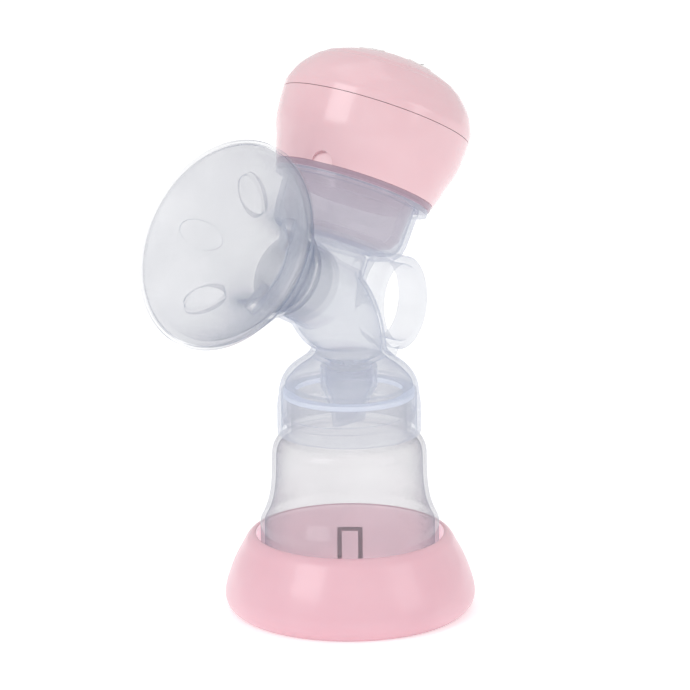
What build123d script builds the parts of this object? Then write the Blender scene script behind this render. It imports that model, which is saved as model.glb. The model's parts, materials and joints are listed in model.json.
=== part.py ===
from build123d import *
import os
from math import cos, pi, radians, sin, sqrt

os.makedirs("parts", exist_ok=True)

# Millimetres, +Z up. The origin is under the middle of the stand, on the bottle's axis.
# The funnel points to -X and up, the pump head leans to +X, and Y = 0 is the plane of symmetry.

# Stand
well_radius = 32.2
stand_wall = 2.2
stand_floor = 2.5
tab_width = 5.8
slit_width = 1.6
tab_top = 18.0
tab_azimuth = 42.5

# Bottle and its screw thread
bottle_bottom = 2.6
bottle_wall = 1.5
neck_radius = 21.5
neck_top = 76.0
thread_pitch = 4.0
thread_turns = 1.25
thread_height = 1.1
thread_width = 1.5

# Body: skirt, spout, tube to the funnel, cup and finger ring
skirt_bottom = 63.4
skirt_inner = 23.4
body_wall = 1.6
funnel_tilt = radians(27.5)
tube_radius = 14.5
tube_wall = 1.2
tube_front = 34.5
tube_end = 58.0
elbow_radius = 14.1
spout_radius = 12.8
passage_length = 28.0
passage_width = 20.0
passage_depth = 14.0
axis_height = 108.2
mouth_distance = 68.57
cup_radius = 24.0
cup_depth = 20.0
handle_centre = (22.0, 105.4)
handle_half = (9.8, 13.6)
handle_band = 2.8
handle_width = 11.0

# Breast shield and cushion
rim_radius = 36.3
tunnel_radius = 12.0
tunnel_bore = 11.1
tunnel_wall = 0.8
petal_count = 5
petal_turn = radians(9)

# Pump head
head_tilt = radians(27.0)
head_origin = (2.2, 0.0, 147.5)
parting = 27.0
crown_edge = 23.0
crown_top = 48.4
crown_base = 43.0
shell = 2.0
key_radius = 4.5
key_circle = 12.0
screw_circle = 22.6
screw_turn = 20.0
nozzle_spot = (-12.0, 6.0)
motor_spot = (6.0, 16.5)
port_height = 15.0
notch_azimuth = radians(195)

# Frames: along the funnel's axis, outward, and along the head's axis, upward
out = Vector(-cos(funnel_tilt), 0, sin(funnel_tilt))
mouth = Vector(0, 0, axis_height) + out * mouth_distance
funnel_side = Vector(sin(funnel_tilt), 0, cos(funnel_tilt))
up = Vector(sin(head_tilt), 0, cos(head_tilt))
back = Vector(cos(head_tilt), 0, -sin(head_tilt))
head_centre = Vector(*head_origin)

funnel_section = Plane(origin=mouth, x_dir=funnel_side, z_dir=funnel_side.cross(out))
funnel_axis = Axis(mouth, out)
head_section = Plane(origin=head_centre, x_dir=back, z_dir=back.cross(up))
head_axis = Axis(head_centre, up)


def head_plane(height, u=0.0, v=0.0):
    """A plane across the head's axis, with x to the back and y to +Y."""
    return Plane(origin=head_centre + up * height + back * u + Vector(0, v, 0), x_dir=back, z_dir=up)


def funnel_plane(depth):
    """A plane across the funnel's axis, this deep behind the mouth."""
    return Plane(origin=mouth - out * depth, x_dir=(0, 1, 0), z_dir=out)


def finish(part, name):
    part.label = name
    export_step(part, f"parts/{name}.step")


# --- Stand -----------------------------------------------------------------------------------
stand_outer = [(40.0, 0.0), (43.4, 5.6), (42.5, 10.5), (40.8, 15.5), (37.6, 22.0)]

with BuildPart() as base_stand:
    with BuildSketch(Plane.XZ):
        with BuildLine():
            Line((0, 0), (stand_outer[0][0], 0))
            Spline(*stand_outer)
            Spline(stand_outer[-1], (34.6, 26.6), (33.0, 27.2), (well_radius, 26.0),
                   tangents=[(-0.6, 1.0), (-0.1, -1.0)])
            Line((well_radius, 26.0), (well_radius, stand_floor))
            Line((well_radius, stand_floor), (0, stand_floor))
            Line((0, stand_floor), (0, 0))
        make_face()
    revolve(axis=Axis.Z)
    # the hollow ring under the shell
    with BuildSketch(Plane.XZ):
        Polygon((well_radius + stand_wall, 0), (37.6, 0), (41.1, 5.4), (40.2, 10.3), (38.4, 15.3),
                 (35.6, 20.8), (well_radius + stand_wall, 22.0), align=None)
    revolve(axis=Axis.Z, mode=Mode.SUBTRACT)
    # four spring tabs in the well's wall, each freed by an inverted-U slit
    for quarter in range(4):
        turn = tab_azimuth + 90 * quarter
        with BuildSketch(Plane(origin=(0, 0, 0), x_dir=(-sin(radians(turn)), cos(radians(turn)), 0),
                               z_dir=(cos(radians(turn)), sin(radians(turn)), 0)).offset(30)):
            for side in (-1, 1):
                with Locations((side * (tab_width + slit_width) / 2, (tab_top + stand_floor) / 2)):
                    Rectangle(slit_width, tab_top - stand_floor)
            with Locations((0, tab_top)):
                Rectangle(tab_width + 2 * slit_width, slit_width)
        extrude(amount=5.2, mode=Mode.SUBTRACT)
finish(base_stand.part, "base_stand")

# --- Bottle ----------------------------------------------------------------------------------
shoulder = [(31.0, 31.0), (30.4, 33.0), (28.5, 37.6), (27.3, 43.5), (26.9, 49.0), (26.8, 54.0),
            (26.2, 58.6), (24.8, 60.9), (neck_radius, 62.2)]


# a thumb's hollow in the side, rolled in by a cylinder that lies across the bottle
thumb_azimuth = radians(-123)
thumb_centre = (56.8, 40.3)
thumb_radius = 30.7
thumb_reach = 16.0
thumb_plane = Plane(origin=(0, 0, 0), x_dir=(cos(thumb_azimuth), sin(thumb_azimuth), 0),
                    z_dir=(sin(thumb_azimuth), -cos(thumb_azimuth), 0))

with BuildPart() as bottle_inside:
    with BuildSketch(Plane.XZ):
        with BuildLine():
            Line((0, bottle_bottom + bottle_wall), (22.6, bottle_bottom + bottle_wall))
            Spline((22.6, bottle_bottom + bottle_wall), (27.4, 6.4), (29.5, 12.0), tangents=[(1, 0), (0, 1)])
            Line((29.5, 12.0), (29.5, 31.0))
            Spline((29.5, 31.0), (28.9, 32.9), (27.0, 37.4), (25.8, 43.4), (25.4, 49.0), (25.3, 53.8),
                   (24.8, 57.6), (23.6, 59.5), (neck_radius - bottle_wall, 62.0),
                   tangents=[(0, 1), (-0.7, 1)])
            Line((neck_radius - bottle_wall, 62.0), (neck_radius - bottle_wall, neck_top + 1))
            Line((neck_radius - bottle_wall, neck_top + 1), (0, neck_top + 1))
            Line((0, neck_top + 1), (0, bottle_bottom + bottle_wall))
        make_face()
    revolve(axis=Axis.Z)
    with BuildSketch(thumb_plane):
        with Locations(thumb_centre):
            Circle(thumb_radius + bottle_wall)
    extrude(amount=thumb_reach, both=True, mode=Mode.SUBTRACT)

with BuildPart() as bottle:
    with BuildSketch(Plane.XZ):
        with BuildLine():
            Line((0, bottle_bottom), (23.0, bottle_bottom))
            Spline((23.0, bottle_bottom), (28.6, 5.2), (31.0, 12.0), tangents=[(1, 0), (0, 1)])
            Line((31.0, 12.0), shoulder[0])
            Spline(*shoulder, tangents=[(0, 1), (-1, 0.25)])
            Line(shoulder[-1], (neck_radius, neck_top))
            Line((neck_radius, neck_top), (0, neck_top))
            Line((0, neck_top), (0, bottle_bottom))
        make_face()
    revolve(axis=Axis.Z)
    with BuildSketch(thumb_plane):
        with Locations(thumb_centre):
            Circle(thumb_radius)
    extrude(amount=thumb_reach, both=True, mode=Mode.SUBTRACT)
    add(bottle_inside.part, mode=Mode.SUBTRACT)
    # measuring marks on the front right side
    for step in range(7):
        mark = 2.4 if step % 2 else 4.2
        plane = Plane(origin=(0, 0, 16 + 2.6 * step), x_dir=(-sin(radians(-8)), cos(radians(-8)), 0),
                      z_dir=(cos(radians(-8)), sin(radians(-8)), 0))
        with BuildSketch(plane.offset(29.9)):
            with Locations((-mark / 2, 0)):
                Rectangle(mark, 0.7)
        extrude(amount=1.45)
    # screw thread
    with BuildLine() as screw_path:
        Helix(pitch=thread_pitch, height=thread_pitch * thread_turns, radius=neck_radius,
              center=(0, 0, 65.4))
    with BuildSketch(Plane(origin=screw_path.line @ 0, x_dir=(1, 0, 0), z_dir=screw_path.line % 0)):
        with Locations((0.3, 0)):
            Trapezoid(thread_width + 0.6, thread_height + 0.8, 62, rotation=-90)
    sweep(path=screw_path.line, is_frenet=True)
finish(bottle.part, "bottle")

with BuildPart() as neck_seal:
    with BuildSketch(Plane.XZ):
        Polygon((19.2, 76.05), (22.6, 76.05), (22.6, 77.75), (19.2, 77.75), align=None)
    revolve(axis=Axis.Z)
finish(neck_seal.part, "neck_seal")

# --- Body ------------------------------------------------------------------------------------
cap_outer = [(24.8, 72.2), (24.4, 75.7), (23.7, 80.4), (22.2, 83.7), (19.3, 86.8), (16.5, 88.8),
             (13.9, 91.2), (spout_radius, 95.0)]
cap_inner = [(22.0, 79.6), (20.6, 82.6), (18.0, 85.3), (15.4, 87.2), (12.6, 89.6),
             (spout_radius - body_wall, 92.0), (spout_radius - body_wall, 95.0)]
elbow_start = 50.0
elbow_centre = Vector(-4.4, 0, 103.0)
elbow_way = Vector(0.519, 0, -0.855)

with BuildPart() as pump_body:
    with BuildSketch(Plane.XZ):
        with BuildLine():
            Line((0, skirt_bottom), (24.8, skirt_bottom))
            Line((24.8, skirt_bottom), cap_outer[0])
            Spline(*cap_outer, tangents=[(0, 1), (0, 1)])
            Line(cap_outer[-1], (0, 95.0))
            Line((0, 95.0), (0, skirt_bottom))
        make_face()
    revolve(axis=Axis.Z)
    # the tube from the funnel, its bend down into the neck, and the passage up to the cup:
    # first solid and then hollow
    for wall, mode in [(0.0, Mode.ADD), (tube_wall, Mode.SUBTRACT)]:
        with BuildSketch(funnel_plane(tube_front)):
            Circle(tube_radius - wall)
        extrude(amount=-(tube_end - tube_front - wall), mode=mode)
        with BuildSketch(funnel_plane(elbow_start)):
            Circle(elbow_radius - wall)
        with BuildSketch(Plane(origin=elbow_centre, x_dir=(0, 1, 0), z_dir=-elbow_way)):
            Circle(elbow_radius - wall)
        with BuildSketch(Plane(origin=(0, 0, 94.5), x_dir=(0, 1, 0), z_dir=(0, 0, 1))):
            Circle(spout_radius - wall)
        loft(mode=mode)
        with BuildSketch(head_plane(-cup_depth)):
            SlotOverall(passage_length - 2 * wall, passage_width - 2 * wall)
        extrude(amount=-passage_depth, mode=mode)
    with BuildSketch(Plane.XZ):
        with BuildLine():
            Line((0, skirt_bottom - 1), (skirt_inner, skirt_bottom - 1))
            Line((skirt_inner, skirt_bottom - 1), (skirt_inner, 77.8))
            Line((skirt_inner, 77.8), (19.0, 77.8))
            Line((19.0, 77.8), (19.0, 79.6))
            Line((19.0, 79.6), cap_inner[0])
            Spline(*cap_inner, tangents=[(0, 1), (0, 1)])
            Line(cap_inner[-1], (0, 95.0))
            Line((0, 95.0), (0, skirt_bottom - 1))
        make_face()
    revolve(axis=Axis.Z, mode=Mode.SUBTRACT)
    # the floor under the neck and the spout that carries the valve
    with BuildSketch(Plane.XZ):
        Polygon((6.4, 80.0), (8.0, 80.0), (8.0, 87.4), (12.6, 90.0), (12.6, 91.8), (6.4, 88.4), align=None)
    revolve(axis=Axis.Z)
    # the cup for the membrane, with a rounded bottom
    with BuildSketch(head_section):
        Polygon((0, -cup_depth), (16.5, -cup_depth), (20.6, -18.6), (22.8, -16.2), (23.5, -13.0),
                 (cup_radius, -1.2), (26.9, -1.2), (26.9, 0.4), (0, 0.4), align=None)
    revolve(axis=head_axis)
    with BuildSketch(head_section):
        Polygon((0, body_wall - cup_depth), (16.0, body_wall - cup_depth), (19.6, -17.2),
                 (21.2, -15.4), (21.9, -12.8), (cup_radius - body_wall, 0.4), (cup_radius - body_wall, 1),
                 (0, 1), align=None)
    revolve(axis=head_axis, mode=Mode.SUBTRACT)
    with BuildSketch(head_plane(-cup_depth - 6, -3)):
        Circle(2.2)
    extrude(amount=10, mode=Mode.SUBTRACT)
    # the finger ring and the webs that carry it
    with BuildSketch(Plane.XZ.offset(-handle_width / 2)):
        with Locations(handle_centre):
            Ellipse(handle_half[0] + handle_band, handle_half[1] + handle_band)
            Ellipse(*handle_half, mode=Mode.SUBTRACT)
    extrude(amount=handle_width)
    with BuildSketch(Plane.XZ.offset(-2.0)):
        Polygon((6.0, 123.6), (2.0, 117.8), (4.9, 113.8), (8.3, 109.4), (11.0, 109.0), (12.8, 114.0),
                (17.5, 119.3), (14.5, 122.9), (12.1, 122.3), align=None)
        Polygon((12.2, 94.5), (14.6, 91.4), (18.8, 88.2), (22.0, 85.4), (24.2, 89.6), (19.0, 90.6),
                (12.3, 97.0), align=None)
    extrude(amount=4.0)
    # screw thread inside the skirt, between the bottle's turns
    with BuildLine() as cap_path:
        Helix(pitch=thread_pitch, height=thread_pitch * thread_turns, radius=skirt_inner,
              center=(0, 0, 65.4 + thread_pitch / 2))
    with BuildSketch(Plane(origin=cap_path.line @ 0, x_dir=(1, 0, 0), z_dir=cap_path.line % 0)):
        with Locations((-0.3, 0)):
            Trapezoid(thread_width + 0.6, thread_height + 0.8, 62, rotation=90)
    sweep(path=cap_path.line, is_frenet=True)
finish(pump_body.part, "pump_body")

with BuildPart() as duckbill_valve:
    with BuildSketch(Plane.XZ):
        Polygon((8.05, 79.5), (9.8, 79.5), (9.8, 86.4), (8.05, 86.4), align=None)
    revolve(axis=Axis.Z)
    with BuildSketch(Plane.XY.offset(79.5)):
        Circle(9.8)
    with BuildSketch(Plane.XY.offset(66)):
        SlotOverall(15.0, 2.4)
    loft()
    with BuildSketch(Plane.XY.offset(79.6)):
        Circle(8.05)
    with BuildSketch(Plane.XY.offset(67.5)):
        SlotOverall(12.6, 0.8)
    loft(mode=Mode.SUBTRACT)
finish(duckbill_valve.part, "duckbill_valve")

# --- Funnel ----------------------------------------------------------------------------------
cone = [(34.6, 3.0), (31.0, 8.6), (25.6, 15.6), (20.6, 22.4), (17.3, 29.0)]
cone_end = (17.3, -29.0)
tail_inner = 12.2
tail_outer = 13.2


def lane(points, shift):
    """Points of the funnel wall, moved in by shift, as (radius, height) with depth below the mouth."""
    return [(radius - shift, -depth + shift * 0.55) for radius, depth in points]


with BuildPart() as breast_shield:
    with BuildSketch(funnel_section):
        with BuildLine():
            Line((rim_radius, -1.4), (rim_radius, 0))
            Line((rim_radius, 0), (35.2, 0))
            Line((35.2, 0), (35.2, -1.9))
            Line((35.2, -1.9), lane(cone, 1.7)[0])
            Spline(*lane(cone, 1.7))
            Polyline(lane(cone, 1.7)[-1], (tail_inner, -34.0), (tail_inner, -46.0), (tail_outer, -46.0),
                     (tail_outer, -34.4), (14.4, -34.4), cone_end)
            Spline(*reversed(lane(cone, 0)))
            Line(lane(cone, 0)[0], (rim_radius, -1.4))
        make_face()
    revolve(axis=funnel_axis)
finish(breast_shield.part, "breast_shield")

# the cushion's bell mouth, from its lip to its tunnel, and the same line one wall behind it
bell = [(32.4, -0.7), (29.0, -2.6), (25.0, -5.0), (20.0, -8.6), (16.4, -13.0), (14.0, -19.0), (12.5, -25.5),
        (tunnel_radius, -31.0)]
back_line = [(31.9, -2.1), (28.4, -4.0), (24.2, -6.6), (19.0, -10.4), (15.6, -15.0), (14.2, -20.0),
             (13.6, -25.5), (13.4, -31.0)]

with BuildPart() as massage_cushion:
    with BuildSketch(funnel_section):
        with BuildLine():
            Line((34.8, -0.2), (34.8, -1.5))
            Line((34.8, -1.5), back_line[0])
            Spline(*back_line)
            Polyline(back_line[-1], (tunnel_bore + tunnel_wall, -33.6), (tunnel_bore + tunnel_wall, -44.0),
                     (tunnel_bore, -44.0), (tunnel_bore, -33.2), bell[-1])
            Spline(*reversed(bell), tangents=[(0, 1), (0.9, 0.45)])
            Line(bell[0], (33.4, -0.2))
            Line((33.4, -0.2), (34.8, -0.2))
        make_face()
    revolve(axis=funnel_axis)
    # raised petals on the cone
    for petal in range(petal_count):
        around = 2 * pi * petal / petal_count + petal_turn
        spoke = funnel_side * cos(around) + Vector(0, 1, 0) * sin(around)
        centre = mouth + spoke * 19.6 - out * 8.8
        facing = (out * 0.76 - spoke * 0.65).normalized()
        with BuildSketch(Plane(origin=centre - facing * 2.4, x_dir=spoke.cross(out), z_dir=facing)):
            Ellipse(4.6, 7.6)
        extrude(amount=3.4)
finish(massage_cushion.part, "massage_cushion")

# --- Membrane and its cover ------------------------------------------------------------------
with BuildPart() as membrane:
    with BuildSketch(head_section):
        Polygon((0, -16.6), (14.8, -16.6), (18.6, -15.2), (20.6, -12.0), (21.4, -1.0), (21.8, 0.45),
                 (24.9, 0.45), (24.9, 1.25), (20.9, 1.25), (20.5, -1.0), (19.7, -11.8), (18.0, -14.4),
                 (14.6, -15.7), (0, -15.7), align=None)
    revolve(axis=head_axis)
finish(membrane.part, "membrane")

with BuildPart() as membrane_cover:
    with BuildSketch(head_section):
        Polygon((0, 1.35), (18.4, 1.35), (18.4, -3.0), (19.9, -3.0), (19.9, 1.35), (25.2, 1.35),
                 (25.2, 0.5), (27.2, 0.5), (27.5, 1.2), (27.5, 2.5), (0, 2.5), align=None)
    revolve(axis=head_axis)
    with BuildSketch(head_plane(-1, *nozzle_spot)):
        Circle(4.0)
    extrude(amount=5, mode=Mode.SUBTRACT)
finish(membrane_cover.part, "membrane_cover")

# --- Head housings ---------------------------------------------------------------------------
belly_line = [(27.9, 2.6), (29.4, 7.0), (30.4, 10.5), (31.9, 15.0), (32.7, 20.0), (33.0, 26.9)]
sphere_radius = (crown_edge ** 2 + (crown_top - crown_base) ** 2) / (2 * (crown_top - crown_base))


def crown_spot(u, v):
    """A plane that touches the crown's surface over (u, v), with its normal outward."""
    reach = sqrt(sphere_radius ** 2 - u ** 2 - v ** 2)
    height = crown_top - sphere_radius + reach
    normal = (up * reach + back * u + Vector(0, v, 0)).normalized()
    return Plane(origin=head_centre + up * height + back * u + Vector(0, v, 0),
                 x_dir=Vector(0, 1, 0).cross(normal), z_dir=normal)


with BuildPart() as lower_housing:
    with BuildSketch(head_section):
        with BuildLine():
            Spline(*belly_line)
            Polyline((33.0, 26.9), (31.0, 26.9), (30.9, 28.8), (29.9, 28.8), (29.9, 24.5), (30.7, 20.0),
                     (29.9, 15.0), (28.4, 10.5), (27.4, 6.6), (19.8, 6.6), (19.8, 4.8), (25.7, 4.8),
                     (25.7, 2.6), (27.9, 2.6))
        make_face()
    revolve(axis=head_axis)
    # screw bosses
    for turn in range(4):
        with BuildSketch(head_plane(4.8)):
            with PolarLocations(screw_circle, 1, start_angle=screw_turn + 90 * turn):
                Circle(2.8)
        extrude(amount=4.6)
        with BuildSketch(head_plane(4.0)):
            with PolarLocations(screw_circle, 1, start_angle=screw_turn + 90 * turn):
                Circle(1.05)
        extrude(amount=8.0, mode=Mode.SUBTRACT)
    # pillars under the charging board
    with BuildSketch(head_plane(6.0)):
        with Locations((24.0, 4.6), (24.0, -4.6)):
            Circle(1.4)
    extrude(amount=6.1)
    # charging port and the shallow seat of its plug
    port_plane = Plane(origin=head_centre + up * port_height, x_dir=(0, 1, 0), z_dir=back)
    with BuildSketch(port_plane.offset(27)):
        SlotOverall(9.4, 3.8)
    extrude(amount=8, mode=Mode.SUBTRACT)
    with BuildSketch(port_plane.offset(30.6)):
        with Locations((0, 0)):
            RectangleRounded(15.6, 8.0, 2.0)
    extrude(amount=4, mode=Mode.SUBTRACT)
    # alignment notch, an arch pressed into the lower edge
    notch_way = back * cos(notch_azimuth) + Vector(0, sin(notch_azimuth), 0)
    with BuildSketch(Plane(origin=head_centre + up * 2.6 + notch_way * 27.2, x_dir=up.cross(notch_way),
                           z_dir=notch_way)):
        Ellipse(3.8, 3.7)
    extrude(amount=4.0, mode=Mode.SUBTRACT)
finish(lower_housing.part, "lower_housing")

with BuildPart() as upper_cover:
    with BuildSketch(head_section):
        with BuildLine():
            Line((33.0, 27.1), (33.0, 29.0))
            Spline((33.0, 29.0), (32.4, 31.4), (31.2, 34.3), (28.4, 38.3), (26.2, 40.6), (24.6, 41.7),
                   tangents=[(0, 1), (-1, 0.35)])
            Line((24.6, 41.7), (crown_edge, crown_base))
            RadiusArc((crown_edge, crown_base), (0, crown_top), -sphere_radius)
            Line((0, crown_top), (0, crown_top - shell))
            RadiusArc((0, crown_top - shell), (20.6, 41.6), sphere_radius - shell)
            Spline((20.6, 41.6), (24.4, 39.6), (29.2, 33.6), (30.8, 30.4), (31.1, 29.0))
            Line((31.1, 29.0), (31.1, 27.1))
            Line((31.1, 27.1), (33.0, 27.1))
        make_face()
    revolve(axis=head_axis)
    for u, v in [(key_circle, 0), (-key_circle, 0), (0, key_circle), (0, -key_circle)]:
        with BuildSketch(crown_spot(u, v).offset(-5)):
            Circle(key_radius + 0.15)
        extrude(amount=8, mode=Mode.SUBTRACT)
    with BuildSketch(crown_spot(0, 0).offset(-5)):
        Circle(4.1)
    extrude(amount=8, mode=Mode.SUBTRACT)
finish(upper_cover.part, "upper_cover")

with BuildPart() as light_window:
    with BuildSketch(head_plane(crown_top - 3.6)):
        Circle(5.6)
    extrude(amount=1.0)
    with BuildSketch(head_plane(crown_top - 2.7)):
        Circle(4.05)
    extrude(amount=2.6)
finish(light_window.part, "light_window")

keys = {"power": (key_circle, 0), "mode": (-key_circle, 0), "plus": (0, key_circle),
        "minus": (0, -key_circle)}
for key_name, (key_u, key_v) in keys.items():
    spot = crown_spot(key_u, key_v)
    with BuildPart() as key:
        with BuildSketch(spot.offset(-3.6)):
            Circle(key_radius + 0.9)
        extrude(amount=0.9)
        with BuildSketch(spot.offset(-2.8)):
            Circle(key_radius)
        extrude(amount=3.0)
        fillet(key.faces().sort_by(Axis(spot.origin, spot.z_dir))[-1].edges(), 0.5)
        with BuildSketch(spot.offset(-3.6)):
            Circle(1.3)
        extrude(amount=-2.2)
    finish(key.part, f"key_{key_name}")

with BuildPart() as bottom_plate:
    with BuildSketch(head_plane(2.6)):
        Circle(25.5)
    extrude(amount=2.1)
    with BuildSketch(head_plane(-1.0, *nozzle_spot)):
        Circle(3.0)
    extrude(amount=4.0)
    with BuildSketch(head_plane(4.0, *nozzle_spot)):
        Circle(0.9)
    extrude(amount=4.0)
    with BuildSketch(head_plane(-2.0, *nozzle_spot)):
        Circle(0.5)
    extrude(amount=12.0, mode=Mode.SUBTRACT)
    for turn in range(4):
        with BuildSketch(head_plane(2.0)):
            with PolarLocations(screw_circle, 1, start_angle=screw_turn + 90 * turn):
                Circle(1.15)
        extrude(amount=4, mode=Mode.SUBTRACT)
        with BuildSketch(head_plane(2.0)):
            with PolarLocations(screw_circle, 1, start_angle=screw_turn + 90 * turn):
                Circle(2.1)
        extrude(amount=1.7, mode=Mode.SUBTRACT)
finish(bottom_plate.part, "bottom_plate")

with BuildPart() as nozzle_seal:
    with BuildSketch(Plane(origin=head_plane(1.9, *nozzle_spot).origin, x_dir=back,
                           z_dir=back.cross(up))):
        with Locations((3.45, 0)):
            Circle(0.42)
    revolve(axis=Axis(head_plane(0, *nozzle_spot).origin, up))
finish(nozzle_seal.part, "nozzle_seal")

with BuildPart() as housing_screws:
    for turn in range(4):
        with BuildSketch(head_plane(2.75)):
            with PolarLocations(screw_circle, 1, start_angle=screw_turn + 90 * turn):
                Circle(1.9)
        extrude(amount=0.9)
        with BuildSketch(head_plane(3.6)):
            with PolarLocations(screw_circle, 1, start_angle=screw_turn + 90 * turn):
                Circle(1.0)
        extrude(amount=5.4)
finish(housing_screws.part, "housing_screws")

# --- Inside the head -------------------------------------------------------------------------
motor_u, motor_height = motor_spot


def along_y(height, u, v):
    """A plane facing +Y at this place in the head."""
    return Plane(origin=head_plane(height, u, v).origin, x_dir=back, z_dir=(0, 1, 0))


with BuildPart() as pump_bracket:
    with BuildSketch(head_plane(26.6)):
        Circle(27.6)
        with Locations((20.5, 0), (-22, 0)):
            Rectangle(6, 12, mode=Mode.SUBTRACT)
    extrude(amount=1.4)
    for turn in range(4):
        with BuildSketch(head_plane(6.7)):
            with PolarLocations(24.6, 1, start_angle=65 + 90 * turn):
                Rectangle(3.0, 5.0)
        extrude(amount=20.3)
        with BuildSketch(head_plane(28.0)):
            with PolarLocations(22.2, 1, start_angle=45 + 90 * turn):
                Circle(1.8)
        extrude(amount=9.8)
finish(pump_bracket.part, "pump_bracket")

with BuildPart() as drive_motor:
    with BuildSketch(along_y(motor_height, motor_u, -18.0)):
        Circle(10.0)
    extrude(amount=17.0)
    with BuildSketch(along_y(motor_height, motor_u, -19.5)):
        Circle(3.0)
    extrude(amount=2.0)
    with BuildSketch(along_y(motor_height, motor_u, -7.0)):
        Circle(1.04)
    extrude(amount=7.0, mode=Mode.SUBTRACT)
finish(drive_motor.part, "drive_motor")

with BuildPart() as pump_block:
    with BuildSketch(along_y(motor_height, motor_u, -0.8)):
        RectangleRounded(20.0, 19.6, 2.0)
    extrude(amount=18.6)
    with BuildSketch(along_y(motor_height, motor_u, 1.2)):
        Circle(7.6)
    extrude(amount=12.0, mode=Mode.SUBTRACT)
    with BuildSketch(along_y(motor_height, motor_u, -2.0)):
        Circle(1.4)
    extrude(amount=5.0, mode=Mode.SUBTRACT)
    with BuildSketch(Plane(origin=head_plane(20.0, motor_u - 9.5, nozzle_spot[1]).origin,
                           x_dir=(0, 1, 0), z_dir=-back)):
        with Locations((0, 0), (6.0, 2.0)):
            Circle(0.9)
    extrude(amount=2.4)
finish(pump_block.part, "pump_block")

with BuildPart() as motor_crank:
    with BuildSketch(along_y(motor_height, motor_u, -6.6)):
        Circle(1.0)
    extrude(amount=15.0)
    with BuildSketch(along_y(motor_height, motor_u + 1.6, 3.0)):
        Circle(5.0)
    extrude(amount=4.0)
finish(motor_crank.part, "motor_crank")

with BuildPart() as release_valve:
    with BuildSketch(head_plane(10.0)):
        with Locations((-17.0, -9.5)):
            RectangleRounded(8.6, 12.0, 1.0)
    extrude(amount=13.0)
    with BuildSketch(along_y(22.0 - 4.0, -17.0, -4.0)):
        Circle(0.9)
    extrude(amount=3.2)
finish(release_valve.part, "release_valve")

def spot(u, v, height):
    """This place in the head, as a point."""
    return head_plane(height, u, v).origin


hose_bend = 6.0
hose_radius = 1.7
hose_bore = 0.95

with BuildPart() as air_hose:
    with BuildLine() as air_route:
        Line(spot(-12, 6, 5.0), spot(-12, 6, 14))
        ThreePointArc(spot(-12, 6, 14), spot(-6 - hose_bend * cos(pi / 4), 6, 14 + hose_bend * sin(pi / 4)),
                      spot(-6, 6, 20))
        Line(spot(-6, 6, 20), spot(-4.3, 6, 20))
    with BuildSketch(head_plane(5.0, -12, 6)):
        Circle(hose_radius)
        Circle(hose_bore, mode=Mode.SUBTRACT)
    sweep(path=air_route.line)
finish(air_hose.part, "air_hose")

with BuildPart() as valve_hose:
    with BuildLine() as valve_route:
        Line(spot(-17, -3.2, 18), spot(-17, 6, 18))
        ThreePointArc(spot(-17, 6, 18), spot(-11 - hose_bend * cos(pi / 4), 6 + hose_bend * sin(pi / 4), 18),
                      spot(-11, 12, 18))
        Line(spot(-11, 12, 18), spot(-4.3, 12, 18))
    with BuildSketch(along_y(18, -17, -3.2)):
        Circle(hose_radius)
        Circle(hose_bore, mode=Mode.SUBTRACT)
    sweep(path=valve_route.line)
finish(valve_hose.part, "valve_hose")

with BuildPart() as battery_pack:
    with BuildSketch(head_plane(28.2)):
        RectangleRounded(26, 38, 2)
    extrude(amount=8.0)
    fillet(battery_pack.edges().filter_by(head_plane(0)), 1.0)
finish(battery_pack.part, "battery_pack")

with BuildPart() as main_board:
    with BuildSketch(head_plane(37.9)):
        Circle(23.4)
    extrude(amount=1.6)
    for u, v in [(10.6, 0), (-10.6, 0), (0, 10.6), (0, -10.6)]:
        with BuildSketch(head_plane(39.4, u, v)):
            RectangleRounded(5.0, 5.0, 0.6)
        extrude(amount=0.9)
    with BuildSketch(head_plane(36.8)):
        with Locations((8, -6), (-9, 5)):
            Rectangle(6, 6)
    extrude(amount=1.2)
finish(main_board.part, "main_board")

with BuildPart() as charging_socket:
    with BuildSketch(head_plane(12.2)):
        with Locations((23.8, 0)):
            Rectangle(8.0, 12.6)
    extrude(amount=1.1)
    with BuildSketch(Plane(origin=spot(21.5, 0, port_height), x_dir=(0, 1, 0), z_dir=back)):
        RectangleRounded(9.2, 3.6, 1.5)
    extrude(amount=7.9)
    with BuildSketch(Plane(origin=spot(23.0, 0, port_height), x_dir=(0, 1, 0), z_dir=back)):
        RectangleRounded(8.4, 2.8, 1.2)
    extrude(amount=8, mode=Mode.SUBTRACT)
finish(charging_socket.part, "charging_socket")

with BuildPart() as port_plug:
    with BuildSketch(Plane(origin=spot(30.8, 0, port_height), x_dir=(0, 1, 0), z_dir=back)):
        RectangleRounded(14.8, 7.2, 1.6)
    extrude(amount=0.9)
    with BuildSketch(Plane(origin=spot(28.0, 0, port_height), x_dir=(0, 1, 0), z_dir=back)):
        RectangleRounded(7.2, 2.1, 0.9)
    extrude(amount=3.0)
finish(port_plug.part, "port_plug")
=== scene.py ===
"""Looks of a single electric breast pump: translucent body, clear funnel, pink head and stand."""

import json
import logging
import math
from dataclasses import dataclass, field
from enum import Enum

import bmesh
import bpy
from mathutils import Matrix, Vector

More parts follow.
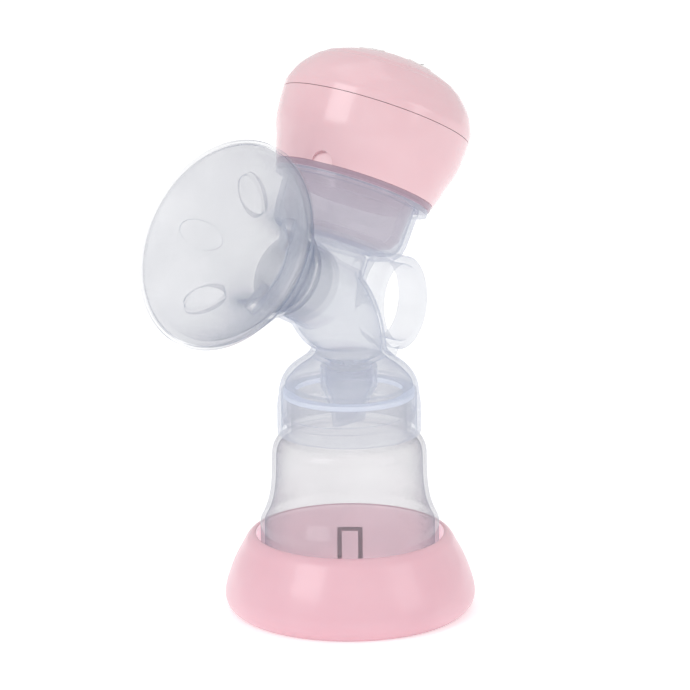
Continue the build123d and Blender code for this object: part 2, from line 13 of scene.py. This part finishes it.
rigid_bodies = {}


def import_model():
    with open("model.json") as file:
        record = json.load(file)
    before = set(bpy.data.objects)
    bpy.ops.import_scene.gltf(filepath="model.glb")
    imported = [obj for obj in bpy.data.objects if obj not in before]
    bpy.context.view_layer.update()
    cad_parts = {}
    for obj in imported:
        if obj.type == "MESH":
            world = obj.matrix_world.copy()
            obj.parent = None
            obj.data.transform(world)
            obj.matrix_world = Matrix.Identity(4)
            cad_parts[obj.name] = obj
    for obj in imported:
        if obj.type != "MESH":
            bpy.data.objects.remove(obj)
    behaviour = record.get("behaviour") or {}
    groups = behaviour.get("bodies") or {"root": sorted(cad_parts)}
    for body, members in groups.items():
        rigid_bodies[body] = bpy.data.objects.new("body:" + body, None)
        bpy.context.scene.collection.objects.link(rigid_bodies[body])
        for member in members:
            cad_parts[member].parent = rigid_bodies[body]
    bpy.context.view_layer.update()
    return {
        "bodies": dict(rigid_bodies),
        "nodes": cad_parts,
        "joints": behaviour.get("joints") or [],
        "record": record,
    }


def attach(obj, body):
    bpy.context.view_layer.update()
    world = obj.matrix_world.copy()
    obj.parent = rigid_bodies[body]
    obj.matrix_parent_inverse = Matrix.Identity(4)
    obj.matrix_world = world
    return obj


LOG = logging.getLogger("breast_pump")
MM = 0.001


def linear(hex_colour: str) -> tuple[float, float, float, float]:
    """Turn an sRGB hex colour into linear RGBA.

    Args:
        hex_colour: Six hex digits, such as "f2b3bb".

    Returns:
        Linear red, green, blue and an alpha of 1.
    """
    channels = [int(hex_colour[i : i + 2], 16) / 255 for i in (0, 2, 4)]
    return (*[c / 12.92 if c <= 0.04045 else ((c + 0.055) / 1.055) ** 2.4 for c in channels], 1.0)


def per_metre(size_mm: float) -> float:
    """Return the texture scale that repeats once per size_mm in object coordinates."""
    return 1.0 / (size_mm * MM)


def add_node(
    tree: bpy.types.NodeTree, kind: str, settings: dict | None = None, links: dict | None = None, **attributes
) -> bpy.types.Node:
    """Add one node with its settings and links.

    Args:
        tree: The node tree to add to.
        kind: The node's bl_idname.
        settings: Values for input sockets, by socket name.
        links: Output sockets to connect, by input socket name.
        **attributes: Properties of the node itself.

    Returns:
        The new node.
    """
    node = tree.nodes.new(kind)
    for name, value in attributes.items():
        setattr(node, name, value)
    for name, value in (settings or {}).items():
        node.inputs[name].default_value = value
    for name, output in (links or {}).items():
        tree.links.new(output, node.inputs[name])
    return node


def add_ramp(tree: bpy.types.NodeTree, source: bpy.types.NodeSocket, stops: list[tuple]) -> bpy.types.Node:
    """Add a colour ramp over a 0 to 1 value.

    Args:
        tree: The node tree to add to.
        source: The value that drives the ramp.
        stops: Pairs of position and linear RGBA.

    Returns:
        The ramp node.
    """
    ramp = add_node(tree, "ShaderNodeValToRGB", links={"Fac": source})
    elements = ramp.color_ramp.elements
    while len(elements) < len(stops):
        elements.new(0.5)
    for element, (position, colour) in zip(elements, stops):
        element.position = position
        element.color = colour
    return ramp


def new_material(name: str) -> tuple[bpy.types.Material, bpy.types.NodeTree]:
    """Return an empty node material and its tree."""
    material = bpy.data.materials.new(name)
    material.use_nodes = True
    material.node_tree.nodes.clear()
    return material, material.node_tree


def close_material(tree: bpy.types.NodeTree, shader: bpy.types.NodeSocket) -> None:
    """Connect a shader to the material's output."""
    add_node(tree, "ShaderNodeOutputMaterial", links={"Surface": shader})


class Grain(Enum):
    """How a moulded or drawn surface is textured."""

    POLISHED = "polished"
    SATIN = "satin"
    BRUSHED = "brushed"


@dataclass(frozen=True)
class MouldedOpaque:
    """Opaque injection-moulded plastic.

    The mould's polish gives a clear highlight, broken slightly by a shallow orange peel, and
    thickness differences under the surface shade the colour by a few percent.
    """

    name: str
    colour: str
    deep_colour: str
    roughness: float = 0.22
    coat: float = 0.0
    peel_mm: float = 2.4
    peel_strength: float = 0.02
    cloud_mm: float = 26.0
    subsurface: float = 0.0
    well_painted_light_colour: str = ""
    well_painted_light_radius_mm: float = 32.6
    well_painted_glow: float = 0.34

    def build(self) -> bpy.types.Material:
        """Return the material."""
        material, tree = new_material(self.name)
        where = add_node(tree, "ShaderNodeTexCoord").outputs["Object"]
        cloud = add_node(
            tree,
            "ShaderNodeTexNoise",
            {"Scale": per_metre(self.cloud_mm), "Detail": 3.0, "Roughness": 0.5},
            {"Vector": where},
        )
        colour = add_ramp(
            tree, cloud.outputs["Fac"], [(0.3, linear(self.deep_colour)), (0.7, linear(self.colour))]
        )
        paint, painted_well_emission = colour.outputs["Color"], None
        # Inside the well's radius the colour is painted lighter and made to glow: painted light that lifts the well's
        # shade.
        if self.well_painted_light_colour:
            paint, painted_well_emission = self.paint_light_in_well(tree, where, paint)
        peel = add_node(
            tree, "ShaderNodeTexNoise", {"Scale": per_metre(self.peel_mm), "Detail": 2.0}, {"Vector": where}
        )
        bump = add_node(
            tree,
            "ShaderNodeBump",
            {"Strength": self.peel_strength, "Distance": 0.2 * MM},
            {"Height": peel.outputs["Fac"]},
        )
        rough = add_node(
            tree,
            "ShaderNodeMapRange",
            {"To Min": self.roughness * 0.85, "To Max": self.roughness * 1.15},
            {"Value": cloud.outputs["Fac"]},
        )
        shader = add_node(
            tree,
            "ShaderNodeBsdfPrincipled",
            {
                "IOR": 1.53,
                "Coat Weight": self.coat,
                "Coat Roughness": 0.06,
                "Subsurface Weight": self.subsurface,
                "Subsurface Radius": (1.0, 0.5, 0.45),
                "Subsurface Scale": 1.2 * MM,
            },
            {"Base Color": paint, "Roughness": rough.outputs["Result"], "Normal": bump.outputs["Normal"]},
        )
        # Painted glow inside the well.
        if painted_well_emission:
            tree.links.new(paint, shader.inputs["Emission Color"])
            tree.links.new(painted_well_emission, shader.inputs["Emission Strength"])
        close_material(tree, shader.outputs["BSDF"])
        return material

    def paint_light_in_well(
        self, tree: bpy.types.NodeTree, where: bpy.types.NodeSocket, colour: bpy.types.NodeSocket
    ) -> tuple[bpy.types.NodeSocket, bpy.types.NodeSocket]:
        """Paint light into the well: near the object's axis the colour is painted lighter and the surface is given a
        painted glow, to lift the shade inside the well.

        Args:
            tree: The material's node tree.
            where: Object coordinates.
            colour: The colour of the outside.

        Returns:
            The colour to paint with, painted lighter in the well, and the strength of the painted glow there.
        """
        flat = add_node(
            tree, "ShaderNodeVectorMath", {1: (1.0, 1.0, 0.0)}, {0: where}, operation="MULTIPLY"
        )
        radius = add_node(
            tree, "ShaderNodeVectorMath", links={0: flat.outputs["Vector"]}, operation="LENGTH"
        )
        painted_well_mask = add_node(
            tree, "ShaderNodeMath", {1: self.well_painted_light_radius_mm * MM}, {0: radius.outputs["Value"]}, operation="LESS_THAN"
        )
        mix = add_node(tree, "ShaderNodeMix", data_type="RGBA")
        tree.links.new(painted_well_mask.outputs["Value"], mix.inputs[0])
        tree.links.new(colour, mix.inputs[6])
        mix.inputs[7].default_value = linear(self.well_painted_light_colour)
        painted_well_emission = add_node(
            tree, "ShaderNodeMath", {1: self.well_painted_glow}, {0: painted_well_mask.outputs["Value"]}, operation="MULTIPLY"
        )
        return mix.outputs[2], painted_well_emission.outputs["Value"]


@dataclass(frozen=True)
class Translucent:
    """See-through moulded plastic or silicone.

    Walls let most light through face-on and turn denser, darker and bluer where they are seen
    along the surface, which is what draws their outlines. Each wall also gives off a painted glow in its own colour,
    which lightens its shaded insides.
    """

    name: str
    face_colour: str
    edge_colour: str
    face_share: float
    edge_share: float
    roughness: float = 0.12
    edge_power: float = 2.2
    haze_mm: float = 18.0
    haze: float = 0.25
    ripple_mm: float = 6.0
    ripple: float = 0.03
    glow: float = 0.5
    painted_glow: float = 1.0
    skin: float = 0.7
    tint: str = "ffffff"

    def build(self) -> bpy.types.Material:
        """Return the material."""
        material, tree = new_material(self.name)
        where = add_node(tree, "ShaderNodeTexCoord").outputs["Object"]
        haze = add_node(
            tree, "ShaderNodeTexNoise", {"Scale": per_metre(self.haze_mm), "Detail": 3.0}, {"Vector": where}
        )
        ripple = add_node(
            tree, "ShaderNodeTexNoise", {"Scale": per_metre(self.ripple_mm), "Detail": 1.0}, {"Vector": where}
        )
        bump = add_node(
            tree,
            "ShaderNodeBump",
            {"Strength": self.ripple, "Distance": 0.3 * MM},
            {"Height": ripple.outputs["Fac"]},
        )
        facing = add_node(tree, "ShaderNodeLayerWeight", {"Blend": 0.5}).outputs["Facing"]
        edge = add_node(
            tree, "ShaderNodeMath", {1: self.edge_power}, {0: facing}, operation="POWER"
        ).outputs["Value"]
        share = add_node(
            tree,
            "ShaderNodeMapRange",
            {"To Min": self.face_share, "To Max": self.edge_share},
            {"Value": edge},
        ).outputs["Result"]
        cloudy = add_node(
            tree,
            "ShaderNodeMapRange",
            {"To Min": 1.0 - self.haze, "To Max": 1.0 + self.haze},
            {"Value": haze.outputs["Fac"]},
        ).outputs["Result"]
        alpha = add_node(tree, "ShaderNodeMath", links={0: share, 1: cloudy}, operation="MULTIPLY", use_clamp=True)
        colour = add_ramp(tree, edge, [(0.0, linear(self.face_colour)), (0.85, linear(self.edge_colour))])
        # The emission is a painted glow: the wall gives off its own colour, lifting the shade inside the layered parts.
        lit = add_node(
            tree,
            "ShaderNodeBsdfPrincipled",
            {
                "IOR": 1.49,
                "Roughness": self.roughness,
                "Specular IOR Level": 0.0,
                "Emission Strength": self.painted_glow,
            },
            {
                "Base Color": colour.outputs["Color"],
                "Emission Color": colour.outputs["Color"],
                "Normal": bump.outputs["Normal"],
            },
        )
        glow = add_node(tree, "ShaderNodeBsdfTranslucent", links={"Color": colour.outputs["Color"]})
        body = add_node(
            tree, "ShaderNodeMixShader", {0: self.glow}, {1: lit.outputs["BSDF"], 2: glow.outputs["BSDF"]}
        )
        clear = add_node(tree, "ShaderNodeBsdfTransparent", {"Color": linear(self.tint)})
        veil = add_node(
            tree,
            "ShaderNodeMixShader",
            links={0: alpha.outputs["Value"], 1: clear.outputs["BSDF"], 2: body.outputs["Shader"]},
        )
        skin = add_node(
            tree,
            "ShaderNodeBsdfGlossy",
            {"Color": linear("ffffff"), "Roughness": self.roughness},
            {"Normal": bump.outputs["Normal"]},
        )
        fresnel = add_node(tree, "ShaderNodeFresnel", {"IOR": 1.49}, {"Normal": bump.outputs["Normal"]})
        inside = add_node(tree, "ShaderNodeNewGeometry").outputs["Backfacing"]
        outside = add_node(tree, "ShaderNodeMath", {0: self.skin}, {1: inside}, operation="SUBTRACT", use_clamp=True)
        shine = add_node(
            tree, "ShaderNodeMath", links={0: fresnel.outputs["Fac"], 1: outside.outputs["Value"]}, operation="MULTIPLY"
        )
        gloss = add_node(
            tree,
            "ShaderNodeMixShader",
            links={0: shine.outputs["Value"], 1: veil.outputs["Shader"], 2: skin.outputs["BSDF"]},
        )
        close_material(tree, gloss.outputs["Shader"])
        return material


@dataclass(frozen=True)
class DrawnMetal:
    """Drawn or turned steel with fine lines that stretch the highlight."""

    name: str
    colour: str
    roughness: float = 0.3
    line_mm: float = 0.6
    grain: Grain = Grain.BRUSHED

    def build(self) -> bpy.types.Material:
        """Return the material."""
        material, tree = new_material(self.name)
        where = add_node(tree, "ShaderNodeTexCoord").outputs["Object"]
        stretch = add_node(
            tree,
            "ShaderNodeMapping",
            {"Scale": (1.0, 0.08 if self.grain is Grain.BRUSHED else 1.0, 1.0)},
            {"Vector": where},
        )
        lines = add_node(
            tree,
            "ShaderNodeTexNoise",
            {"Scale": per_metre(self.line_mm), "Detail": 4.0},
            {"Vector": stretch.outputs["Vector"]},
        )
        rough = add_node(
            tree,
            "ShaderNodeMapRange",
            {"To Min": self.roughness * 0.7, "To Max": self.roughness * 1.4},
            {"Value": lines.outputs["Fac"]},
        )
        bump = add_node(
            tree, "ShaderNodeBump", {"Strength": 0.08, "Distance": 0.05 * MM}, {"Height": lines.outputs["Fac"]}
        )
        shader = add_node(
            tree,
            "ShaderNodeBsdfPrincipled",
            {"Base Color": linear(self.colour), "Metallic": 1.0},
            {"Roughness": rough.outputs["Result"], "Normal": bump.outputs["Normal"]},
        )
        close_material(tree, shader.outputs["BSDF"])
        return material


# Glossy pink ABS, polished mould: a clean soft highlight over a light, slightly milky pink.
PINK_SHELL = MouldedOpaque(
    "abs_pink_polished", "e3bec4", "dfb6bd", roughness=0.22, coat=0.4, subsurface=0.15
)
# The stand is the same plastic with a little less polish. Its well is painted lighter and given a painted glow,
# standing in for light in the shaded well.
PINK_STAND = MouldedOpaque(
    "abs_pink_moulded_stand", "e5b8c2", "e1b1bc", roughness=0.3, coat=0.25, subsurface=0.15, well_painted_light_colour="fbdde3"
)
# White ABS keys, fine satin: they catch light without mirroring it.
KEY_WHITE = MouldedOpaque("abs_white_satin_keys", "f4efee", "ebe5e5", roughness=0.38)
SYMBOL_GREY = MouldedOpaque("pad_printed_grey_ink", "8c8788", "7c7779", roughness=0.5, peel_mm=0.8)
INNER_WHITE = MouldedOpaque("abs_natural_inner_moulding", "e6e4df", "dad7d1", roughness=0.5, peel_strength=0.06)
PUMP_NYLON = MouldedOpaque("nylon_glass_filled_black", "2c2d30", "212225", roughness=0.55, peel_strength=0.1)
PLUG_SILICONE = MouldedOpaque("silicone_pink_moulded_plug", "eeaab5", "e69faa", roughness=0.45)
BATTERY_FILM = MouldedOpaque("pvc_blue_shrink_film", "2f5ea6", "274f8f", roughness=0.25, peel_mm=5.0)
BOARD_MASK = MouldedOpaque("solder_mask_green_printed", "1c6a3c", "14512d", roughness=0.3, peel_mm=1.2)
WINDOW_ACRYLIC = MouldedOpaque("acrylic_opal_moulded_window", "f7f6f8", "eeedf2", roughness=0.15)
# Bottle and body: translucent polypropylene, a soft grey-blue haze.
# Each translucent finish below also sets the strength of its painted glow, the emission that lightens its shaded
# insides.
BOTTLE_PP = Translucent("pp_translucent_blown_bottle", "9d9ca3", "7b7f92", 0.15, 0.65, painted_glow=0.55, edge_power=3.0)
BODY_PP = Translucent("pp_translucent_moulded_body", "a6a9b1", "8d95a8", 0.26, 0.7, painted_glow=1.2, edge_power=3.0)
COVER_PP = Translucent("pp_frosted_moulded_cover", "b39fab", "9c8b99", 0.45, 0.9, roughness=0.32, painted_glow=0.9)
# The shield is the clearest piece: nearly invisible face-on, with dark thin outlines.
SHIELD_PP = Translucent("pp_clear_polished_shield", "a6a9b2", "63708a", 0.1, 0.85, roughness=0.08, painted_glow=0.3, edge_power=3.2)
CUSHION_SILICONE = Translucent("silicone_clear_moulded_cushion", "a6a8b0", "7b8599", 0.25, 0.8, roughness=0.2, painted_glow=0.7, edge_power=3.0)
VALVE_SILICONE = Translucent("silicone_milky_moulded_valve", "a8aebb", "959eb0", 0.2, 0.6, roughness=0.35, painted_glow=1.2)
MEMBRANE_SILICONE = Translucent("silicone_frosted_moulded_membrane", "b0a3ae", "a3949f", 0.3, 0.7, roughness=0.4, painted_glow=1.0)
SEAL_SILICONE = Translucent("silicone_milky_moulded_seal", "e6eaf2", "b0bccf", 0.4, 0.9, roughness=0.35)
HOSE_SILICONE = Translucent("silicone_extruded_hose", "eeeeea", "c4c4be", 0.6, 0.9, roughness=0.3)
MOTOR_STEEL = DrawnMetal("steel_zinc_plated_drawn_can", "b9babd", roughness=0.32)
CRANK_STEEL = DrawnMetal("steel_turned_crank", "a5a7ab", roughness=0.25, line_mm=0.4)
SCREW_STEEL = DrawnMetal("steel_nickel_plated_screw", "b5b2ac", roughness=0.25, line_mm=0.4, grain=Grain.SATIN)
SOCKET_STEEL = DrawnMetal("steel_nickel_plated_stamped_socket", "c8c9cb", roughness=0.22)


def dress(item: bpy.types.Object, material: bpy.types.Material) -> None:
    """Give every face of a piece one material."""
    item.data.materials.clear()
    item.data.materials.append(material)
    item.data.polygons.foreach_set("material_index", [0] * len(item.data.polygons))


@dataclass
class SubAssembly:
    """A group of CAD nodes and added pieces that is built and dressed together."""

    nodes: dict[str, bpy.types.Object]
    finishes: dict[str, object] = field(default_factory=dict)

    def build(self) -> None:
        """Make the added pieces."""

    def dress_nodes(self) -> None:
        """Give each CAD node its material."""
        made: dict[str, bpy.types.Material] = {}
        for node, finish in self.finishes.items():
            if finish.name not in made:
                made[finish.name] = bpy.data.materials.get(finish.name) or finish.build()
            dress(self.nodes[node], made[finish.name])
            LOG.info("dressed %s in %s", node, finish.name)


@dataclass
class Stand(SubAssembly):
    """The round stand with its well."""

    finishes: dict[str, object] = field(default_factory=lambda: {"base_stand": PINK_STAND})


@dataclass
class Bottle(SubAssembly):
    """The milk bottle with its thread and the seal on its lip."""

    finishes: dict[str, object] = field(
        default_factory=lambda: {"bottle": BOTTLE_PP, "neck_seal": SEAL_SILICONE}
    )


@dataclass
class Body(SubAssembly):
    """The body that joins funnel, cup and bottle, with the valve under its neck."""

    finishes: dict[str, object] = field(
        default_factory=lambda: {"pump_body": BODY_PP, "duckbill_valve": VALVE_SILICONE}
    )


@dataclass
class Funnel(SubAssembly):
    """The breast shield and the cushion in it."""

    finishes: dict[str, object] = field(
        default_factory=lambda: {"breast_shield": SHIELD_PP, "massage_cushion": CUSHION_SILICONE}
    )


@dataclass
class MembraneSet(SubAssembly):
    """The membrane that hangs in the cup and the cover over it."""

    finishes: dict[str, object] = field(
        default_factory=lambda: {"membrane": MEMBRANE_SILICONE, "membrane_cover": COVER_PP}
    )


@dataclass
class HeadShell(SubAssembly):
    """The two pink housings, the bottom plate and what shows from outside."""

    finishes: dict[str, object] = field(
        default_factory=lambda: {
            "lower_housing": PINK_SHELL,
            "upper_cover": PINK_SHELL,
            "light_window": WINDOW_ACRYLIC,
            "bottom_plate": INNER_WHITE,
            "nozzle_seal": SEAL_SILICONE,
            "housing_screws": SCREW_STEEL,
            "charging_socket": SOCKET_STEEL,
            "port_plug": PLUG_SILICONE,
        }
    )


@dataclass
class Drive(SubAssembly):
    """What works inside the head."""

    finishes: dict[str, object] = field(
        default_factory=lambda: {
            "pump_bracket": INNER_WHITE,
            "drive_motor": MOTOR_STEEL,
            "motor_crank": CRANK_STEEL,
            "pump_block": PUMP_NYLON,
            "release_valve": PUMP_NYLON,
            "air_hose": HOSE_SILICONE,
            "valve_hose": HOSE_SILICONE,
            "battery_pack": BATTERY_FILM,
            "main_board": BOARD_MASK,
        }
    )


class Symbol(Enum):
    """The mark on each key."""

    POWER = "power"
    MODE = "mode"
    PLUS = "plus"
    MINUS = "minus"


@dataclass
class Keypad(SubAssembly):
    """The four keys on the crown, each with a small raised symbol."""

    joints: list[dict] = field(default_factory=list)
    stroke: float = 0.45 * MM
    reach: float = 1.8 * MM
    lift: float = 0.06 * MM
    finishes: dict[str, object] = field(
        default_factory=lambda: {f"key_{symbol.value}": KEY_WHITE for symbol in Symbol}
    )

    def build(self) -> None:
        """Make one symbol for each key, lying on the key's own top face."""
        ink = SYMBOL_GREY.build()
        for symbol in Symbol:
            piece = self.make_symbol(symbol)
            dress(piece, ink)
            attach(piece, f"{symbol.value}_key")
            LOG.info("made the %s symbol", symbol.value)

    def strokes(self, symbol: Symbol) -> list[list[tuple[float, float]]]:
        """Return the symbol's centre lines on the key's top, in units of its reach."""
        if symbol is Symbol.PLUS:
            return [[(-1, 0), (1, 0)], [(0, -1), (0, 1)]]
        if symbol is Symbol.MINUS:
            return [[(-1, 0), (1, 0)]]
        if symbol is Symbol.MODE:
            return [[(-1 + i / 8, 0.5 * math.sin(math.pi * i / 8)) for i in range(17)]]
        ring = [math.radians(35 + 290 * i / 24) for i in range(25)]
        return [[(math.sin(a), math.cos(a)) for a in ring], [(0, 0.2), (0, 1.1)]]

    def make_symbol(self, symbol: Symbol) -> bpy.types.Object:
        """Build one symbol as flat raised strokes.

        Args:
            symbol: Which mark to make.

        Returns:
            The new mesh object, in place.
        """
        key = self.nodes[f"key_{symbol.value}"]
        press = next(j for j in self.joints if j["child"] == f"{symbol.value}_key")
        normal = -Vector(press["axis"]).normalized()
        top = max(key.data.vertices, key=lambda v: v.co.dot(normal)).co.dot(normal)
        rim = [v.co for v in key.data.vertices if v.co.dot(normal) > top - 0.02 * MM]
        centre = sum(rim, Vector()) / len(rim)
        along = Vector((0, 1, 0))
        across = along.cross(normal).normalized()
        mesh = bmesh.new()
        for line in self.strokes(symbol):
            points = [centre + across * (y * self.reach) + along * (x * self.reach) for x, y in line]
            self.add_stroke(mesh, points, normal)
        data = bpy.data.meshes.new(f"symbol_{symbol.value}")
        mesh.to_mesh(data)
        mesh.free()
        piece = bpy.data.objects.new(f"symbol_{symbol.value}", data)
        bpy.context.scene.collection.objects.link(piece)
        return piece

    def add_stroke(self, mesh: bmesh.types.BMesh, points: list[Vector], normal: Vector) -> None:
        """Add one closed bar with square section along the points.

        Args:
            mesh: The mesh to add to.
            points: The stroke's centre line.
            normal: The way the key's top faces.
        """
        rings = []
        for i, point in enumerate(points):
            ahead = points[min(i + 1, len(points) - 1)] - points[max(i - 1, 0)]
            side = normal.cross(ahead.normalized()) * (self.stroke / 2)
            depth = normal * self.lift
            rings.append([mesh.verts.new(point + s * side + d * depth) for s, d in ((-1, -1), (1, -1), (1, 1), (-1, 1))])
        for a, b in zip(rings, rings[1:]):
            for k in range(4):
                mesh.faces.new((a[k], a[(k + 1) % 4], b[(k + 1) % 4], b[k]))
        mesh.faces.new(reversed(rings[0]))
        mesh.faces.new(rings[-1])
        bmesh.ops.recalc_face_normals(mesh, faces=mesh.faces)


@dataclass
class Studio:
    """Floor, light and camera."""

    floor_size: float = 12.0
    table_glow: float = 0.25
    camera_distance: float = 1.41
    camera_height: float = 0.4555
    camera_azimuth: float = -47.5
    camera_pitch: float = -14.393
    camera_yaw: float = -0.0009
    camera_roll: float = -0.0067
    lens_mm: float = 221.4

    def build(self) -> None:
        """Set up everything around the object."""
        self.add_floor()
        self.add_world()
        self.add_lights()
        self.add_camera()
        bpy.context.scene.view_settings.view_transform = "Standard"
        bpy.context.scene.cycles.transparent_max_bounces = 48
        LOG.info("set up floor, light and camera")

    def add_floor(self) -> None:
        """Lay a plain white paper floor with faint fibre."""
        half = self.floor_size / 2
        mesh = bpy.data.meshes.new("floor")
        corners = [(-half, -half, 0), (half, -half, 0), (half, half, 0), (-half, half, 0)]
        mesh.from_pydata(corners, [], [(0, 1, 2, 3)])
        floor = bpy.data.objects.new("floor", mesh)
        bpy.context.scene.collection.objects.link(floor)
        material, tree = new_material("paper_white_matte_floor")
        where = add_node(tree, "ShaderNodeTexCoord").outputs["Object"]
        fibre = add_node(tree, "ShaderNodeTexNoise", {"Scale": per_metre(40.0)}, {"Vector": where})
        colour = add_ramp(tree, fibre.outputs["Fac"], [(0.3, linear("fcfcfc")), (0.7, linear("ffffff"))])
        shader = add_node(
            tree,
            "ShaderNodeBsdfPrincipled",
            {"Roughness": 0.9, "Emission Color": linear("ffffff"), "Emission Strength": self.table_glow},
            {"Base Color": colour.outputs["Color"]},
        )
        close_material(tree, shader.outputs["BSDF"])
        mesh.materials.append(material)

    def add_world(self) -> None:
        """Surround the object with even white light."""
        world = bpy.data.worlds.new("studio")
        world.use_nodes = True
        background = world.node_tree.nodes["Background"]
        background.inputs["Color"].default_value = (1, 1, 1, 1)
        background.inputs["Strength"].default_value = 0.8
        bpy.context.scene.world = world

    def add_light(self, name: str, place: tuple, size: float, power: float) -> None:
        """Add one soft square light aimed at the object.

        Args:
            name: The light's name.
            place: Where it stands, in metres.
            size: Its side, in metres.
            power: Its power, in watts.
        """
        lamp = bpy.data.lights.new(name, "AREA")
        lamp.size = size
        lamp.energy = power
        holder = bpy.data.objects.new(name, lamp)
        holder.location = place
        holder.rotation_euler = (Vector((0, 0, 0.1)) - Vector(place)).to_track_quat("-Z", "Y").to_euler()
        bpy.context.scene.collection.objects.link(holder)

    def add_lights(self) -> None:
        """Light from a big box at the left, a weaker one at the right and one overhead."""
        self.add_light("key_box", (-1.5, 0.1, 1.0), 0.9, 6.5)
        self.add_light("fill_box", (0.3, -1.6, 0.7), 0.8, 2.6)
        self.add_light("top_box", (0.1, 0.2, 1.7), 1.2, 3.0)

    def add_camera(self) -> None:
        """Place the camera by its azimuth, height and small roll."""
        camera = bpy.data.cameras.new("camera")
        camera.lens = self.lens_mm
        camera.sensor_width = 36.0
        camera.clip_start = 0.05
        holder = bpy.data.objects.new("camera", camera)
        bpy.context.scene.collection.objects.link(holder)
        turn = math.radians(self.camera_azimuth)
        pitch = math.radians(self.camera_pitch)
        heading = turn + self.camera_yaw * -1
        forward = Vector((-math.sin(heading), math.cos(heading), 0)) * math.cos(pitch)
        forward.z = math.sin(pitch)
        right = forward.cross(Vector((0, 0, 1))).normalized()
        above = right.cross(forward)
        tilted_right = right * math.cos(self.camera_roll) + above * math.sin(self.camera_roll)
        tilted_above = above * math.cos(self.camera_roll) - right * math.sin(self.camera_roll)
        place = Vector((math.sin(turn), -math.cos(turn), 0)) * self.camera_distance
        place.z = self.camera_height
        frame = Matrix((tilted_right, tilted_above, -forward)).transposed().to_4x4()
        holder.matrix_world = Matrix.Translation(place) @ frame
        bpy.context.scene.camera = holder


def main() -> None:
    """Build and dress the pump."""
    logging.basicConfig(level=logging.INFO, format="%(message)s")
    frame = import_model()
    nodes = frame["nodes"]
    units = [kind(nodes) for kind in (Stand, Bottle, Body, Funnel, MembraneSet, HeadShell, Drive)]
    units.append(Keypad(nodes, joints=frame["joints"]))
    for unit in units:
        unit.dress_nodes()
        unit.build()
    Studio().build()


if __name__ == "__main__":
    main()
